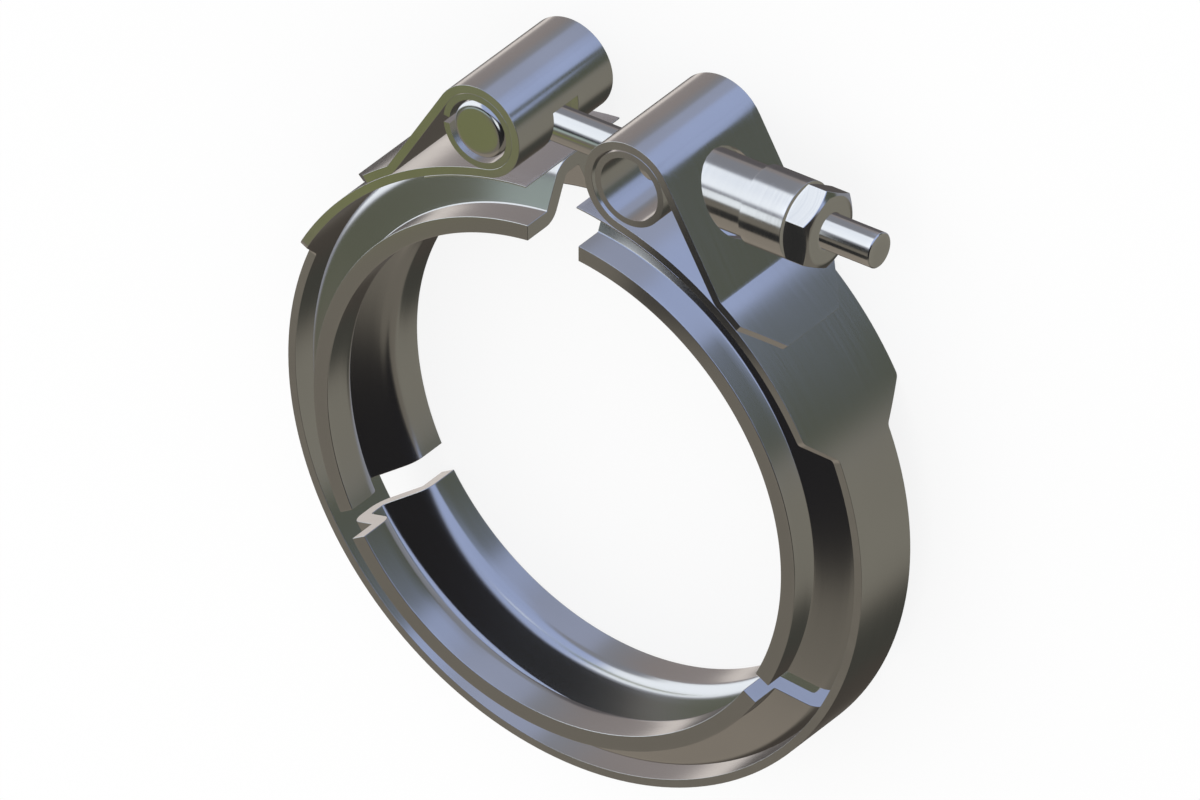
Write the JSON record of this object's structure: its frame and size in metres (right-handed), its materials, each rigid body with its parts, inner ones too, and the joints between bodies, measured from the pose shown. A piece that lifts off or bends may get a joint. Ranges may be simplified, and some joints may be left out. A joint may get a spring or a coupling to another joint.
{
  "type": "v band clamp",
  "caption": "V band clamp with a T-bolt: a strap with V section retainers that draws two flanges together when its nut is turned.",
  "frame": {"origin": "on the ring's axis, halfway through the band's width", "axes": "+Z along the ring's axis towards the side that the picture shows, +Y towards the gap and the bolt, +X along the bolt towards its nut"},
  "size_m": [0.1006, 0.1129, 0.0222],
  "materials": {
    "band_steel": "polished sheet",
    "retainer_steel": "roll formed, satin",
    "liner_steel": "satin sheet",
    "tube_steel": "satin tube",
    "bolt_steel": "bright drawn",
    "turned_steel": "bright turned"
  },
  "bodies": {
    "band": {"outer_band": "band_steel", "retainer_left": "retainer_steel", "retainer_lower": "retainer_steel", "retainer_right": "retainer_steel", "liner_left": "liner_steel", "liner_right": "liner_steel", "split_tube": "tube_steel"},
    "t_bolt": {"t_bolt": "bolt_steel", "trunnion_tube": "tube_steel"},
    "sleeve": {"sleeve": "turned_steel"},
    "nut": {"nut": "turned_steel"}
  },
  "joints": [
    {"name": "bolt_swing", "type": "hinge", "parent": "band", "child": "t_bolt", "pos_m": [-0.0128, 0.05479, 0], "axis": [0, 0, 1], "range_deg": [-0.6, 0.15]},
    {"name": "sleeve_slide", "type": "slide", "parent": "t_bolt", "child": "sleeve", "axis": [1, 0, 0], "range_m": [0, 0.00726]},
    {"name": "nut_spin", "type": "hinge", "parent": "sleeve", "child": "nut", "pos_m": [0.0359, 0.05269, 0], "axis": [1, 0, 0], "range_deg": [0, 2880]}
  ],
  "couplings": [
    {"joint": "nut_spin", "follows": "sleeve_slide", "rad_per_m": 6927.4}
  ]
}
